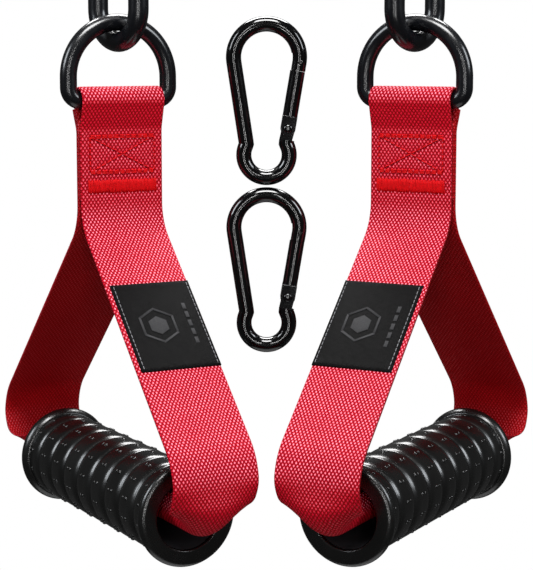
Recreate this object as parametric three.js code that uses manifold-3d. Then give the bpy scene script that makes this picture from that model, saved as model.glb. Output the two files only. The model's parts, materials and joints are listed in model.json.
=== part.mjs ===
// A pair of webbing stirrup handles for a pulley machine, each hanging on an oval steel link,
// and two pear-shaped spring snap hooks. Millimetres, +Z up, +X to the right, -Y to the front.
// The origin is midway between the two hanging links, level with the inside of their tops.

import * as THREE from 'three';
import { mergeVertices } from 'three/addons/utils/BufferGeometryUtils.js';
import Module from 'manifold-3d';

const wasm = await Module();
wasm.setup();

// ---------------------------------------------------------------- driving dimensions (mm)

const GAP = 0.3; // left between pieces that touch
const BAR_SIDES = 12;
const LATHE_SIDES = 20;

const HANDLE = { spacing: 62.8, turn: THREE.MathUtils.degToRad(29) };
const RING = { bar: 7.2, width: 53.4, height: 40, corner: 5.5 };
const LINK = { bar: 8.6, width: 36.6, length: 56.1, turn: THREE.MathUtils.degToRad(48) };
const WEB = { width: 38, thick: 1.7, loop: 5.1, sewnEnd: 42 };
const LEG = { crest: 24, spread: 22, fold: 15, from: 96.2 }; // from: depth that out is given at
const LEGS = { near: { out: 46.2, slope: 0.985, reach: 90 }, far: { out: 47.2, slope: 1.03, reach: 94.2 } };
const GRIP = {
  drop: 166.8, shift: 1.5, length: 132, crest: 19.3, groove: 17.7, flange: 21.7, ribs: 9, pitch: 14.7,
};
const CORE = { outer: 15.9, inner: 14.2 };
const LABEL = { width: 36, length: 44.2, thick: 0.6, shift: 0.9, depth: 91.5 };
const STITCH = { width: 31, top: 14.6, bottom: 30.8, line: 1.3, thick: 0.5 };
const TACK = { width: 32, top: 33.1, bottom: 39.7 };
const HOOK = { bar: 6.5, big: 14, bigUp: 18.75, eye: 9.7, eyeDown: 22.7, lean: THREE.MathUtils.degToRad(9.5) };
const HOOK_HEIGHTS = { upper: -68.4, lower: -140.9 };

const RING_TOP = RING.height - RING.bar / 2; // outer top above the straight bar's axis
const RING_HALF = (RING.width - RING.bar) / 2;
const LINK_HALF = (LINK.width - LINK.bar) / 2;
const LINK_LOW = RING_TOP - RING.bar - GAP - LINK.bar / 2; // axis of the link's bottom bend
const LINK_HIGH = LINK_LOW + LINK.length - LINK.bar; // axis of its top bend
const BAR_HEIGHT = -(LINK_HIGH - LINK.bar / 2); // the D-ring's straight bar in the whole part

// The webbing curls into a channel to pass through the grip
const CHANNEL = { radius: 7.5, raise: 2.8 };
const CHANNEL_DEPTH = GRIP.drop - CHANNEL.raise + CHANNEL.radius;

// ---------------------------------------------------------------- materials

const paint = (color, roughness, metalness) =>
  new THREE.MeshStandardMaterial({ color, roughness, metalness });
const blackSteel = paint(0x14161a, 0.22, 0.8);
const hookSteel = paint(0x0c0c0e, 0.18, 0.8);
const springSteel = paint(0x9a9a9a, 0.35, 1);
const redWebbing = paint(0xd2122e, 0.85, 0);
const redThread = paint(0xb00018, 0.6, 0);
const labelCloth = paint(0x121214, 0.8, 0);
const labelThread = paint(0x8a8a90, 0.7, 0);
const rubber = paint(0x17181a, 0.4, 0);
const blackPlastic = paint(0x202022, 0.5, 0);

// ---------------------------------------------------------------- solids

function solidOf(geometry) {
  const bare = geometry.clone();
  bare.deleteAttribute('normal');
  bare.deleteAttribute('uv');
  const merged = mergeVertices(bare, 1e-4);
  return new wasm.Manifold(new wasm.Mesh({
    numProp: 3,
    vertProperties: new Float32Array(merged.attributes.position.array),
    triVerts: new Uint32Array(merged.index.array),
  }));
}

function geometryOf(solid) {
  const mesh = solid.getMesh();
  const geometry = new THREE.BufferGeometry();
  geometry.setAttribute('position', new THREE.BufferAttribute(mesh.vertProperties, 3));
  geometry.setIndex(new THREE.BufferAttribute(mesh.triVerts, 1));
  return geometry;
}

function joined(...geometries) {
  return geometries.map(solidOf).reduce((all, next) => all.add(next));
}

// A closed skin through rings of points: capped at both ends, or the last ring joined to the first
function loft(rings, closed = false) {
  const sides = rings[0].length;
  const points = rings.flat();
  const faces = [];
  const spans = closed ? rings.length : rings.length - 1;
  for (let i = 0; i < spans; i++) {
    const a = i * sides;
    const b = ((i + 1) % rings.length) * sides;
    for (let j = 0; j < sides; j++) {
      const k = (j + 1) % sides;
      faces.push(a + j, a + k, b + k, a + j, b + k, b + j);
    }
  }
  if (!closed) {
    const last = (rings.length - 1) * sides;
    for (const [a, b, c] of capFaces(sides)) {
      faces.push(a, c, b, last + a, last + b, last + c);
    }
  }
  return facingOut(points, faces);
}

// Triangles that zigzag across a ring, so a flat, long section is capped well
function capFaces(sides) {
  const faces = [];
  let low = 0;
  let high = sides - 1;
  while (high - low > 1) {
    faces.push([low, low + 1, high]);
    low += 1;
    if (high - low > 1) faces.push([low, high - 1, high]);
    high -= 1;
  }
  return faces;
}

function facingOut(points, faces) {
  let volume = 0;
  for (let i = 0; i < faces.length; i += 3) {
    const [a, b, c] = [points[faces[i]], points[faces[i + 1]], points[faces[i + 2]]];
    volume += a.dot(new THREE.Vector3().crossVectors(b, c));
  }
  if (volume < 0) faces.reverse();
  const geometry = new THREE.BufferGeometry().setFromPoints(points);
  geometry.setIndex(faces);
  return geometry;
}

// A line of points with rounded corners. Each corner is [x, y, radius]
function rounded(corners, step = THREE.MathUtils.degToRad(16)) {
  const out = [];
  corners.forEach(([x, y, radius], i) => {
    const here = new THREE.Vector2(x, y);
    if (!radius) {
      out.push(here);
      return;
    }
    const back = new THREE.Vector2(...corners[i - 1].slice(0, 2)).sub(here).normalize();
    const ahead = new THREE.Vector2(...corners[i + 1].slice(0, 2)).sub(here).normalize();
    const turn = Math.PI - Math.acos(back.dot(ahead));
    const middle = back.clone().add(ahead).normalize();
    const centre = here.clone().addScaledVector(middle, radius / Math.cos(turn / 2));
    const side = Math.sign(back.cross(ahead));
    const steps = Math.max(2, Math.round(turn / step));
    for (let k = 0; k <= steps; k++) {
      const angle = side * turn * (k / steps - 0.5);
      const spoke = middle.clone().negate().rotateAround(new THREE.Vector2(), -angle);
      out.push(centre.clone().addScaledVector(spoke, radius));
    }
  });
  return out;
}

function arc(centre, radius, from, to, steps) {
  return Array.from({ length: steps + 1 }, (_, k) => {
    const angle = THREE.MathUtils.degToRad(from + ((to - from) * k) / steps);
    return new THREE.Vector2(centre[0] + radius * Math.cos(angle), centre[1] + radius * Math.sin(angle));
  });
}

function tangentAt(line, i, closed) {
  const n = line.length;
  const before = closed ? line[(i + n - 1) % n] : line[Math.max(i - 1, 0)];
  const after = closed ? line[(i + 1) % n] : line[Math.min(i + 1, n - 1)];
  return after.clone().sub(before).normalize();
}

// A round bar along a line in the XZ plane
function roundBar(line, radius, sides, closed = false) {
  const rings = line.map((point, i) => {
    const along = tangentAt(line, i, closed);
    return Array.from({ length: sides }, (_, j) => {
      const angle = (2 * Math.PI * (j + 0.5)) / sides;
      const across = radius * Math.cos(angle);
      return new THREE.Vector3(
        point.x - along.y * across, radius * Math.sin(angle), point.y + along.x * across);
    });
  });
  return loft(rings, closed);
}

// A flat plate whose outline is drawn in XZ, from y = front back to y = front + thick
function plate(shape, front, thick, curveSegments = 12) {
  const geometry = new THREE.ExtrudeGeometry(shape, { depth: thick, bevelEnabled: false, curveSegments });
  geometry.rotateX(Math.PI / 2);
  return geometry.translate(0, front + thick, 0);
}

function rectangle(left, right, low, high, Kind = THREE.Shape) {
  return new Kind([
    new THREE.Vector2(left, low), new THREE.Vector2(right, low),
    new THREE.Vector2(right, high), new THREE.Vector2(left, high)]);
}

// A rod along Y through a point of the XZ plane
function crossRod(x, z, radius, halfLength, sides = 24) {
  return new THREE.CylinderGeometry(radius, radius, 2 * halfLength, sides).translate(x, 0, z);
}

function add(group, name, shape, material) {
  const geometry = shape.isBufferGeometry ? shape : geometryOf(shape);
  geometry.computeVertexNormals();
  const mesh = new THREE.Mesh(geometry, material);
  mesh.name = name;
  group.add(mesh);
  return mesh;
}

// ---------------------------------------------------------------- steel link and D-ring

function hangingLink() {
  const line = [
    ...arc([0, LINK_LOW + LINK_HALF], LINK_HALF, 180, 360, 9),
    ...arc([0, LINK_HIGH - LINK_HALF], LINK_HALF, 0, 180, 9)];
  return roundBar(line, LINK.bar / 2, BAR_SIDES, true);
}

function dRing() {
  const low = RING.corner;
  const high = RING_TOP - RING.bar / 2 - RING_HALF;
  const inset = RING_HALF - RING.corner;
  const line = [
    ...arc([-inset, low], RING.corner, 180, 270, 4),
    ...arc([inset, low], RING.corner, 270, 360, 4),
    ...arc([0, high], RING_HALF, 0, 180, 14)];
  return roundBar(line, RING.bar / 2, BAR_SIDES, true);
}

// ---------------------------------------------------------------- webbing strap

// One leg's line below the sewn zone, as [distance from the middle, height, radius]
function legCorners({ out, slope, reach }, mouth) {
  const layer = WEB.thick + GAP;
  const middle = out - (WEB.thick / 2) * Math.hypot(1, slope);
  const furthest = reach - WEB.thick / 2;
  return [
    [layer, (middle - layer) / slope - LEG.from, LEG.spread],
    [furthest, (middle - furthest) / slope - LEG.from, LEG.crest],
    [furthest, -CHANNEL_DEPTH, LEG.fold],
    [mouth, -CHANNEL_DEPTH, 0]];
}

function strapLine() {
  const layer = WEB.thick + GAP;
  const rise = THREE.MathUtils.degToRad(20);
  const tangent = [WEB.loop * Math.cos(rise), -WEB.loop * Math.sin(rise)];
  const mouth = GRIP.length / 2 + 1;
  const near = legCorners(LEGS.near, mouth - GRIP.shift).map(([y, z, radius]) => [-y, z, radius]);
  const far = legCorners(LEGS.far, mouth + GRIP.shift).reverse();
  const below = rounded([[0, -WEB.sewnEnd, 0], [0, -12, 10], [...tangent, 0]]);
  const loop = arc([0, 0], WEB.loop, -20, 200, 12);
  const rest = rounded([
    [-tangent[0], tangent[1], 0], [-layer, -12, 10], ...near, ...far,
    [layer, -12.45, 8], [layer + 3.9, -4, 0]]); // the end lies against the back of the loop
  return [...below.slice(0, -1), ...loop, ...rest.slice(1)];
}

// How far the webbing is curled, from 0 on the legs to 1 in the grip
function curl(point) {
  const foldStart = LEG.fold * 1.6;
  if (point.y > -CHANNEL_DEPTH + foldStart) return 0;
  const mouth = GRIP.length / 2 + 1;
  const reach = (LEGS.near.reach + LEGS.far.reach) / 2;
  const outside = Math.max(0, Math.abs(point.x - GRIP.shift) - mouth) / (reach - mouth);
  const up = (point.y + CHANNEL_DEPTH) / foldStart;
  return 1 - THREE.MathUtils.smoothstep(0.45 * outside + 0.5 * up, 0, 0.95);
}

function strapRing(point, along, columns = 8) {
  const bend = Math.max(curl(point), 1e-3) / CHANNEL.radius;
  const normal = new THREE.Vector2(-along.y, along.x);
  const row = (side, j) => {
    const angle = bend * WEB.width * (j / columns - 0.5);
    const inner = 1 / bend - (side * WEB.thick) / 2;
    const lift = 1 / bend - inner * Math.cos(angle);
    return new THREE.Vector3(
      inner * Math.sin(angle), point.x + normal.x * lift, point.y + normal.y * lift);
  };
  const lower = Array.from({ length: columns + 1 }, (_, j) => row(-1, j));
  const upper = Array.from({ length: columns + 1 }, (_, j) => row(1, columns - j));
  return [...lower, ...upper];
}

function strap() {
  const line = strapLine();
  return loft(line.map((point, i) => strapRing(point, tangentAt(line, i, false))));
}

// ---------------------------------------------------------------- stitching and label

function boxStitchShape() {
  const half = STITCH.width / 2;
  const middle = -(STITCH.top + STITCH.bottom) / 2;
  const shape = rectangle(-half, half, -STITCH.bottom, -STITCH.top);
  const x = half - STITCH.line;
  const z = (STITCH.bottom - STITCH.top) / 2 - STITCH.line;
  const kept = STITCH.line * 0.75; // half the diagonal's width where it meets the frame
  for (const side of [-1, 1]) {
    shape.holes.push(new THREE.Path([
      new THREE.Vector2(x - 1.6 * kept, middle + side * z),
      new THREE.Vector2(-x + 1.6 * kept, middle + side * z),
      new THREE.Vector2(0, middle + side * kept)]));
    shape.holes.push(new THREE.Path([
      new THREE.Vector2(side * x, middle + z - kept),
      new THREE.Vector2(side * x, middle - z + kept),
      new THREE.Vector2(side * 1.6 * kept, middle)]));
  }
  return shape;
}

function stitchFront(side) {
  const face = (WEB.thick + GAP) + WEB.thick / 2 + GAP;
  return side < 0 ? -face - STITCH.thick : face;
}

function labelShape(inset) {
  return rectangle(
    -LABEL.width / 2 + inset, LABEL.width / 2 - inset,
    -LABEL.length / 2 + inset, LABEL.length / 2 - inset);
}

function labelStitchShape() {
  const shape = labelShape(1);
  const hole = labelShape(1.5).getPoints();
  shape.holes.push(new THREE.Path(hole.reverse()));
  return shape;
}

// A frame lying on the front leg: x across the webbing, z up the leg, -y out of its face
function labelFrame(mirror) {
  const outside = LEGS.near.out - LEGS.near.slope * (LEG.from - LABEL.depth);
  const tilt = Math.atan(LEGS.near.slope);
  const frame = new THREE.Group();
  frame.rotation.x = -tilt;
  frame.position.set(mirror * LABEL.shift, -outside, -LABEL.depth);
  return frame;
}

// ---------------------------------------------------------------- grip

function gripSleeve() {
  const end = GRIP.length / 2;
  const bore = CORE.outer + GAP;
  const lip = 1.6;
  const half = GRIP.pitch / 2;
  const profile = [
    [CORE.inner, -end + 0.8], [CORE.inner + 0.8, -end], [GRIP.flange - 2.6, -end],
    [GRIP.flange - 0.7, -end + 0.8], [GRIP.flange, -end + 2.6], [GRIP.flange - 1.6, -end + 5.4]];
  for (let i = 0; i < GRIP.ribs; i++) {
    const middle = (i - (GRIP.ribs - 1) / 2) * GRIP.pitch;
    if (i > 0) profile.push([GRIP.groove, middle - half]);
    profile.push([GRIP.crest, middle - half + 2.6], [GRIP.crest, middle + half - 2.6]);
  }
  profile.push(
    [GRIP.flange - 1.6, end - 5.4], [GRIP.flange, end - 2.6], [GRIP.flange - 0.7, end - 0.8],
    [GRIP.flange - 2.6, end], [CORE.inner + 0.8, end], [CORE.inner, end - 0.8],
    [CORE.inner, end - lip], [bore, end - lip], [bore, -end + lip], [CORE.inner, -end + lip]);
  return lathed(profile);
}

function gripCore() {
  const end = GRIP.length / 2 - 1.6 - GAP;
  return lathed([[CORE.inner, -end], [CORE.outer, -end], [CORE.outer, end], [CORE.inner, end]]);
}

function lathed(profile) {
  const points = profile.map(([r, y]) => new THREE.Vector2(r, y));
  points.push(points[0].clone());
  return new THREE.LatheGeometry(points, LATHE_SIDES);
}

// ---------------------------------------------------------------- one handle

// side is left or right, and mirror is -1 or 1: the right handle is the left one's mirror image
function handle(side, mirror) {
  const group = new THREE.Group();
  group.position.set(mirror * HANDLE.spacing, 0, BAR_HEIGHT);
  group.rotation.z = -mirror * HANDLE.turn;

  const link = add(group, `${side}_hanging_link`, hangingLink(), blackSteel);
  link.rotation.z = mirror * (LINK.turn + HANDLE.turn);
  add(group, `${side}_d_ring`, dRing(), blackSteel);
  add(group, `${side}_strap`, strap(), redWebbing);

  for (const [where, sign] of [['front', -1], ['rear', 1]]) {
    const front = stitchFront(sign);
    add(group, `${side}_box_stitch_${where}`, plate(boxStitchShape(), front, STITCH.thick), redThread);
    const tack = rectangle(-TACK.width / 2, TACK.width / 2, -TACK.bottom, -TACK.top);
    add(group, `${side}_bar_tack_${where}`, plate(tack, front, STITCH.thick), redThread);
  }

  const onLeg = labelFrame(-mirror);
  group.add(onLeg);
  const labelFront = -GAP - LABEL.thick;
  add(onLeg, `${side}_label`, plate(labelShape(0), labelFront, LABEL.thick), labelCloth);
  const threadFront = labelFront - GAP - 0.3;
  add(onLeg, `${side}_label_stitch`, plate(labelStitchShape(), threadFront, 0.3), labelThread);

  const grip = new THREE.Group();
  grip.position.set(0, GRIP.shift, -GRIP.drop);
  group.add(grip);
  add(grip, `${side}_grip_sleeve`, gripSleeve(), rubber);
  add(grip, `${side}_grip_core`, gripCore(), blackPlastic);
  return group;
}

// ---------------------------------------------------------------- snap hook

const GATE = {
  radius: 3.2, pivot: [9.15, -11.4], top: 24.4, cheek: 1.7, tang: 1.4,
  bore: 2.1, boreTop: 14, springLow: 7.8, plungerLow: 3.5, rivet: 1.25, pin: 1, pinUp: 28.2,
};

// The gate's own frame: its pivot is at the origin and its bar runs up the Z axis
function inGateFrame(geometry) {
  geometry.rotateY(HOOK.lean);
  return geometry.translate(GATE.pivot[0], 0, GATE.pivot[1]);
}

function hookFrameLine() {
  const leanDeg = THREE.MathUtils.radToDeg(HOOK.lean);
  const big = arc([0, HOOK.bigUp], HOOK.big, -leanDeg, 180 + leanDeg, 16);
  const eye = arc([0, -HOOK.eyeDown], HOOK.eye, 152, 390, 15);
  const down = new THREE.Vector2(-Math.sin(HOOK.lean), -Math.cos(HOOK.lean));
  const end = big[0].clone().addScaledVector(down, 3.4);
  const stub = eye[eye.length - 1].clone().add(new THREE.Vector2(0.25, 1.5));
  return [end, ...big, ...eye, stub];
}

// The flattened end inside the gate's fork, with a cam that pushes the plunger in
function tangShape() {
  const camRise = 1.6; // mm for each radian that the gate opens
  const points = [];
  for (let k = 0; k <= 16; k++) {
    const angle = THREE.MathUtils.degToRad(-10 + (k * 200) / 16);
    const past = Math.min(Math.max(angle - Math.PI / 2, 0), 0.45);
    const radius = 3.1 + camRise * past - Math.max(angle - Math.PI / 2 - 0.45, 0) * 0.9;
    points.push(new THREE.Vector2(radius * Math.cos(angle), radius * Math.sin(angle)));
  }
  points.push(new THREE.Vector2(-2.9, -5.4), new THREE.Vector2(2.5, -5.8));
  return new THREE.Shape(points);
}

function hookFrame() {
  const bar = roundBar(hookFrameLine(), HOOK.bar / 2, BAR_SIDES);
  const tang = inGateFrame(plate(tangShape(), -GATE.tang, 2 * GATE.tang));
  const rivetHole = crossRod(...GATE.pivot, GATE.rivet + 0.15, 9);
  const slot = inGateFrame(new THREE.BoxGeometry(8.2, 3, 7.6).translate(-2.3, 0, GATE.pinUp - 0.2));
  const pinHole = inGateFrame(crossRod(0.6, GATE.pinUp, GATE.pin + 0.1, 9, 16));
  return [rivetHole, slot, pinHole].map(solidOf).reduce((all, cut) => all.subtract(cut), joined(bar, tang));
}

function cheekShape() {
  const shape = new THREE.Shape();
  shape.moveTo(GATE.radius, 0);
  shape.lineTo(GATE.radius, 5.4);
  shape.lineTo(-GATE.radius, 5.4);
  shape.lineTo(-GATE.radius, 0);
  shape.absarc(0, 0, GATE.radius, Math.PI, 2 * Math.PI, false);
  return shape;
}

function hookGate() {
  const low = 4.6;
  const bar = new THREE.CylinderGeometry(GATE.radius, GATE.radius, GATE.top - low, 20);
  bar.rotateX(Math.PI / 2).translate(0, 0, (GATE.top + low) / 2);
  const cheekThick = GATE.radius - GATE.cheek;
  const cheeks = [GATE.cheek, -GATE.radius].map((front) => plate(cheekShape(), front, cheekThick));
  const tongue = new THREE.BoxGeometry(1.7, 2.2, 6.6).translate(-1.65, 0, GATE.top + 1.9);
  const bore = new THREE.CylinderGeometry(GATE.bore, GATE.bore, GATE.boreTop, 16);
  bore.rotateX(Math.PI / 2).translate(0, 0, GATE.boreTop / 2);
  const rivetHole = new THREE.CylinderGeometry(GATE.rivet + 0.15, GATE.rivet + 0.15, 18, 24);
  const gate = joined(bar, ...cheeks, tongue).subtract(solidOf(bore)).subtract(solidOf(rivetHole));
  return inGateFrame(geometryOf(gate));
}

function hookRivet() {
  const reach = GATE.radius + 0.2;
  const head = 2.3;
  const profile = [
    [0, -reach - 0.9], [head * 0.6, -reach - 0.8], [head, -reach], [GATE.rivet, -reach],
    [GATE.rivet, reach], [head, reach], [head * 0.6, reach + 0.8], [0, reach + 0.9]];
  const points = profile.map(([r, y]) => new THREE.Vector2(r, y));
  return new THREE.LatheGeometry(points, 24).translate(GATE.pivot[0], 0, GATE.pivot[1]);
}

function hookPlunger() {
  const low = GATE.plungerLow;
  const profile = [[0, low], [1, low + 0.3], [1.75, low + 1.1], [1.75, low + 3.9], [0, low + 3.9]];
  const points = profile.map(([r, y]) => new THREE.Vector2(r, y));
  return inGateFrame(new THREE.LatheGeometry(points, 16).rotateX(Math.PI / 2));
}

class Helix extends THREE.Curve {
  constructor(radius, low, high, turns) {
    super();
    Object.assign(this, { radius, low, high, turns });
  }

  getPoint(t, target = new THREE.Vector3()) {
    const angle = 2 * Math.PI * this.turns * t;
    const height = this.low + (this.high - this.low) * t;
    return target.set(this.radius * Math.cos(angle), this.radius * Math.sin(angle), height);
  }
}

function hookSpring() {
  const wire = 0.28;
  const turns = 6;
  const coil = new Helix(1.35, GATE.springLow + wire, GATE.boreTop - GAP - wire, turns);
  const section = new THREE.Shape().absarc(0, 0, wire, 0, 2 * Math.PI, false);
  const options = { steps: turns * 8, extrudePath: coil, curveSegments: 3, bevelEnabled: false };
  return inGateFrame(new THREE.ExtrudeGeometry(section, options));
}

function snapHook(which, height) {
  const group = new THREE.Group();
  group.position.z = height;
  add(group, `${which}_hook_frame`, hookFrame(), hookSteel);
  add(group, `${which}_hook_gate`, hookGate(), hookSteel);
  add(group, `${which}_hook_rivet`, hookRivet(), hookSteel);
  const pin = inGateFrame(crossRod(0.6, GATE.pinUp, GATE.pin, 2.9, 16));
  add(group, `${which}_hook_latch_pin`, pin, hookSteel);
  add(group, `${which}_hook_plunger`, hookPlunger(), springSteel);
  add(group, `${which}_hook_spring`, hookSpring(), springSteel);
  return group;
}

// ---------------------------------------------------------------- the whole set

const set = new THREE.Group();
set.add(handle('left', -1));
set.add(handle('right', 1));
for (const [which, height] of Object.entries(HOOK_HEIGHTS)) {
  set.add(snapHook(which, height));
}

export default set;
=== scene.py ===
"""A pair of red webbing cable handles with ribbed black grips, and two black snap hooks.

Shapes are drawn in millimetres in the frame of the piece they belong to, and placed by the
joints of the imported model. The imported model's own frame is in metres, +Z up, -Y to the front.
"""

import json
import math
import random

import bmesh
import bpy
import numpy as np
from mathutils import Matrix, Vector


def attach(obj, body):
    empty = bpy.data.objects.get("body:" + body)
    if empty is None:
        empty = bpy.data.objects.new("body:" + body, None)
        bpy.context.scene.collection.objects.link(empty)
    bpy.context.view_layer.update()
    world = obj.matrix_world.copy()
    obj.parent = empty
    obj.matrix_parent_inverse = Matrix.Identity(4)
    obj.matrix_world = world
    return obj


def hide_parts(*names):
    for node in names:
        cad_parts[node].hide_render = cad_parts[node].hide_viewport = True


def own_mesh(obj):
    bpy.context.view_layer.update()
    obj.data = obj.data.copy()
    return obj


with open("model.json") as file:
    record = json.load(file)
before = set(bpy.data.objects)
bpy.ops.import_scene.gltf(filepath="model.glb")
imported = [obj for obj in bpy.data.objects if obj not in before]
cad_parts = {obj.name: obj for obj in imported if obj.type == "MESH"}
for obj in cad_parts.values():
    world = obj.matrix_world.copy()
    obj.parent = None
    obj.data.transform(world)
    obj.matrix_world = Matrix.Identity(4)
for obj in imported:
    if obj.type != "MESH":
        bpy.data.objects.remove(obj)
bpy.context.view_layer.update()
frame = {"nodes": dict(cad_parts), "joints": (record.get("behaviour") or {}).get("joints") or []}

# ---------------------------------------------------------------- sizes (mm and radians)

MM = 0.001

RING = {"bar": 7.2, "width": 53.4, "height": 40.0, "corner": 5.5}
LINK = {"bar": 8.6, "width": 36.6, "length": 56.1, "turn": math.radians(48)}
WEB = {"width": 38.0, "thick": 1.7, "loop": 5.1, "sewn_end": 42.0}
LEG = {"crest": 24.0, "spread": 22.0, "fold": 15.0, "from": 96.2}
NEAR = {"out": 46.2, "slope": 0.985, "reach": 90.0}  # out: outer face's distance, at that depth
FAR = {"out": 47.2, "slope": 1.03, "reach": 94.2}
CHANNEL = {"radius": 7.5, "raise": 2.8}
GRIP = {"drop": 166.8, "shift": 1.5, "length": 132.0, "crest": 19.3, "groove": 17.7,
        "flange": 21.7}
RIBS = {"count": 9, "pitch": 14.7}
CORE = {"outer": 15.9, "inner": 14.2, "lip": 1.6}
LABEL = {"width": 36.0, "length": 44.2, "thick": 0.6, "shift": 0.9, "depth": 91.5}
STITCH = {"width": 31.0, "top": 14.6, "bottom": 30.8}
TACK = {"width": 32.0, "top": 33.1, "bottom": 39.7}
HOOK = {"bar": 6.5, "big": 14.0, "big_up": 18.75, "eye": 9.7, "eye_down": 22.7, "nose": 3.5}
HOOK_LEAN = math.radians(9.5)
GATE = {"radius": 3.2, "pivot": (9.15, -11.4), "low": 4.6, "top": 24.4, "cheek": 1.7, "cheek_top": 5.4,
        "tang": 1.4, "bore": 2.1, "bore_top": 14.0, "rivet": 1.25}
LATCH = {"across": 0.6, "up": 28.2, "pin": 1.0, "half": 2.9}
SPRING = {"wire": 0.28, "radius": 1.35, "turns": 6, "low": 7.8}
HANDLE_TURN = math.radians(29)
GAP = 0.3

RING_TOP = RING["height"] - RING["bar"] / 2
RING_HALF = (RING["width"] - RING["bar"]) / 2
LINK_HALF = (LINK["width"] - LINK["bar"]) / 2
LINK_LOW = RING_TOP - RING["bar"] - GAP - LINK["bar"] / 2
LINK_HIGH = LINK_LOW + LINK["length"] - LINK["bar"]
CHANNEL_DEPTH = GRIP["drop"] - CHANNEL["raise"] + CHANNEL["radius"]
LAYER = WEB["thick"] + GAP

# ---------------------------------------------------------------- camera

CAMERA_DISTANCE = 0.777
CAMERA_PITCH = math.radians(7.6)
CAMERA_AIM = Vector((0, 0, -0.1472))
CAMERA_LENS = 113.7


def make_camera():
    data = bpy.data.cameras.new("camera")
    data.lens = CAMERA_LENS
    data.sensor_width = 36
    data.clip_end = 50
    camera = bpy.data.objects.new("camera", data)
    ahead = Vector((0, math.cos(CAMERA_PITCH), -math.sin(CAMERA_PITCH)))
    camera.location = CAMERA_AIM - CAMERA_DISTANCE * ahead
    camera.rotation_euler = (math.pi / 2 - CAMERA_PITCH, 0, 0)
    bpy.context.scene.collection.objects.link(camera)
    bpy.context.scene.camera = camera


# ---------------------------------------------------------------- meshes


class Shell:
    """Points in mm, faces, and one uv pair for each point."""

    def __init__(self):
        self.points, self.faces, self.uvs = [], [], []

    def add(self, points, faces, uvs=None):
        start = len(self.points)
        self.points += [Vector(p) for p in points]
        self.faces += [[start + i for i in face] for face in faces]
        self.uvs += list(uvs) if uvs else [(0, 0)] * len(points)
        return self

    def join(self, other):
        return self.add(other.points, other.faces, other.uvs)

    def moved(self, matrix):
        self.points = [matrix @ p for p in self.points]
        return self


def make_object(name, shell, place, material, smooth=True):
    """A Blender object from a shell, with place taking its mm to the row frame's metres."""
    mesh = bpy.data.meshes.new(name)
    mesh.from_pydata([place @ p for p in shell.points], [], shell.faces)
    layer = mesh.uv_layers.new(name="lay")
    corners = np.empty(len(mesh.loops), np.int32)
    mesh.loops.foreach_get("vertex_index", corners)
    layer.data.foreach_set("uv", np.array(shell.uvs, np.float32)[corners].ravel())
    mesh.polygons.foreach_set("use_smooth", [smooth] * len(mesh.polygons))
    mesh.materials.append(material)
    mesh.validate()
    obj = bpy.data.objects.new(name, mesh)
    bpy.context.scene.collection.objects.link(obj)
    face_out(obj)
    return obj


def face_out(obj):
    """Turns every face outward."""
    work = bmesh.new()
    work.from_mesh(obj.data)
    bmesh.ops.recalc_face_normals(work, faces=work.faces)
    work.to_mesh(obj.data)
    work.free()


def placed(obj, body, node):
    """The piece rides on its body and stands for its CAD node, which is hidden."""
    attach(obj, body)
    if node:
        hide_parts(node)
    return obj


def loft(rings, closed=False, uvs=None):
    """A skin over rings of equally many points. An open one is capped at both ends."""
    sides = len(rings[0])
    count = len(rings)
    faces = []
    for i in range(count if closed else count - 1):
        a, b = i * sides, ((i + 1) % count) * sides
        for j in range(sides):
            k = (j + 1) % sides
            faces.append((a + j, a + k, b + k, b + j))
    if not closed:
        faces.append(tuple(range(sides)))
        faces.append(tuple(reversed(range((count - 1) * sides, count * sides))))
    return Shell().add([p for ring in rings for p in ring], faces, uvs)


def arc(centre, radius, start, end, steps):
    """Points of an arc, in degrees, end included."""
    angles = [math.radians(start + (end - start) * k / steps) for k in range(steps + 1)]
    return [Vector((centre[0] + radius * math.cos(a), centre[1] + radius * math.sin(a)))
            for a in angles]


def rounded(corners, step=math.radians(3)):
    """A line of 2D points with rounded corners. Each corner is (x, y, radius)."""
    out = []
    for i, (x, y, radius) in enumerate(corners):
        here = Vector((x, y))
        if not radius:
            out.append(here)
            continue
        back = (Vector(corners[i - 1][:2]) - here).normalized()
        ahead = (Vector(corners[i + 1][:2]) - here).normalized()
        turn = math.pi - math.acos(back.dot(ahead))
        middle = (back + ahead).normalized()
        centre = here + middle * (radius / math.cos(turn / 2))
        side = math.copysign(1, back.cross(ahead))
        steps = max(2, round(turn / step))
        for k in range(steps + 1):
            spoke = Matrix.Rotation(-side * turn * (k / steps - 0.5), 2) @ -middle
            out.append(centre + spoke * radius)
    return out


def spaced(line, spacing):
    """The same line with points no further apart than spacing."""
    out = [line[0]]
    for a, b in zip(line, line[1:]):
        steps = max(1, math.ceil((b - a).length / spacing))
        out += [a.lerp(b, k / steps) for k in range(1, steps + 1)]
    return out


def tangents(line, closed=False):
    n = len(line)
    if closed:
        return [(line[(i + 1) % n] - line[i - 1]).normalized() for i in range(n)]
    return [(line[min(i + 1, n - 1)] - line[max(i - 1, 0)]).normalized() for i in range(n)]


def round_bar(line, radius, sides=32, closed=False):
    """A round bar along a line of 2D points in the XZ plane."""
    rings = []
    for point, along in zip(line, tangents(line, closed)):
        ring = []
        for j in range(sides):
            angle = 2 * math.pi * j / sides
            across, out = radius * math.cos(angle), radius * math.sin(angle)
            ring.append((point.x - along.y * across, out, point.y + along.x * across))
        rings.append(ring)
    return loft(rings, closed)


def thread(points, radius, sides=6):
    """A thin round thread through 3D points, tapering to its ends."""
    points = [Vector(p) for p in points]
    count = len(points)
    rings = []
    side = None
    for i, along in enumerate(tangents(points)):
        if side is None:
            side = along.orthogonal().normalized()
        side = (side - along * side.dot(along)).normalized()
        other = along.cross(side)
        thin = 0.35 if i in (0, count - 1) else 1.0
        rings.append([points[i] + radius * thin * (side * math.cos(2 * math.pi * j / sides)
                      + other * math.sin(2 * math.pi * j / sides)) for j in range(sides)])
    return loft(rings)


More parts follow.
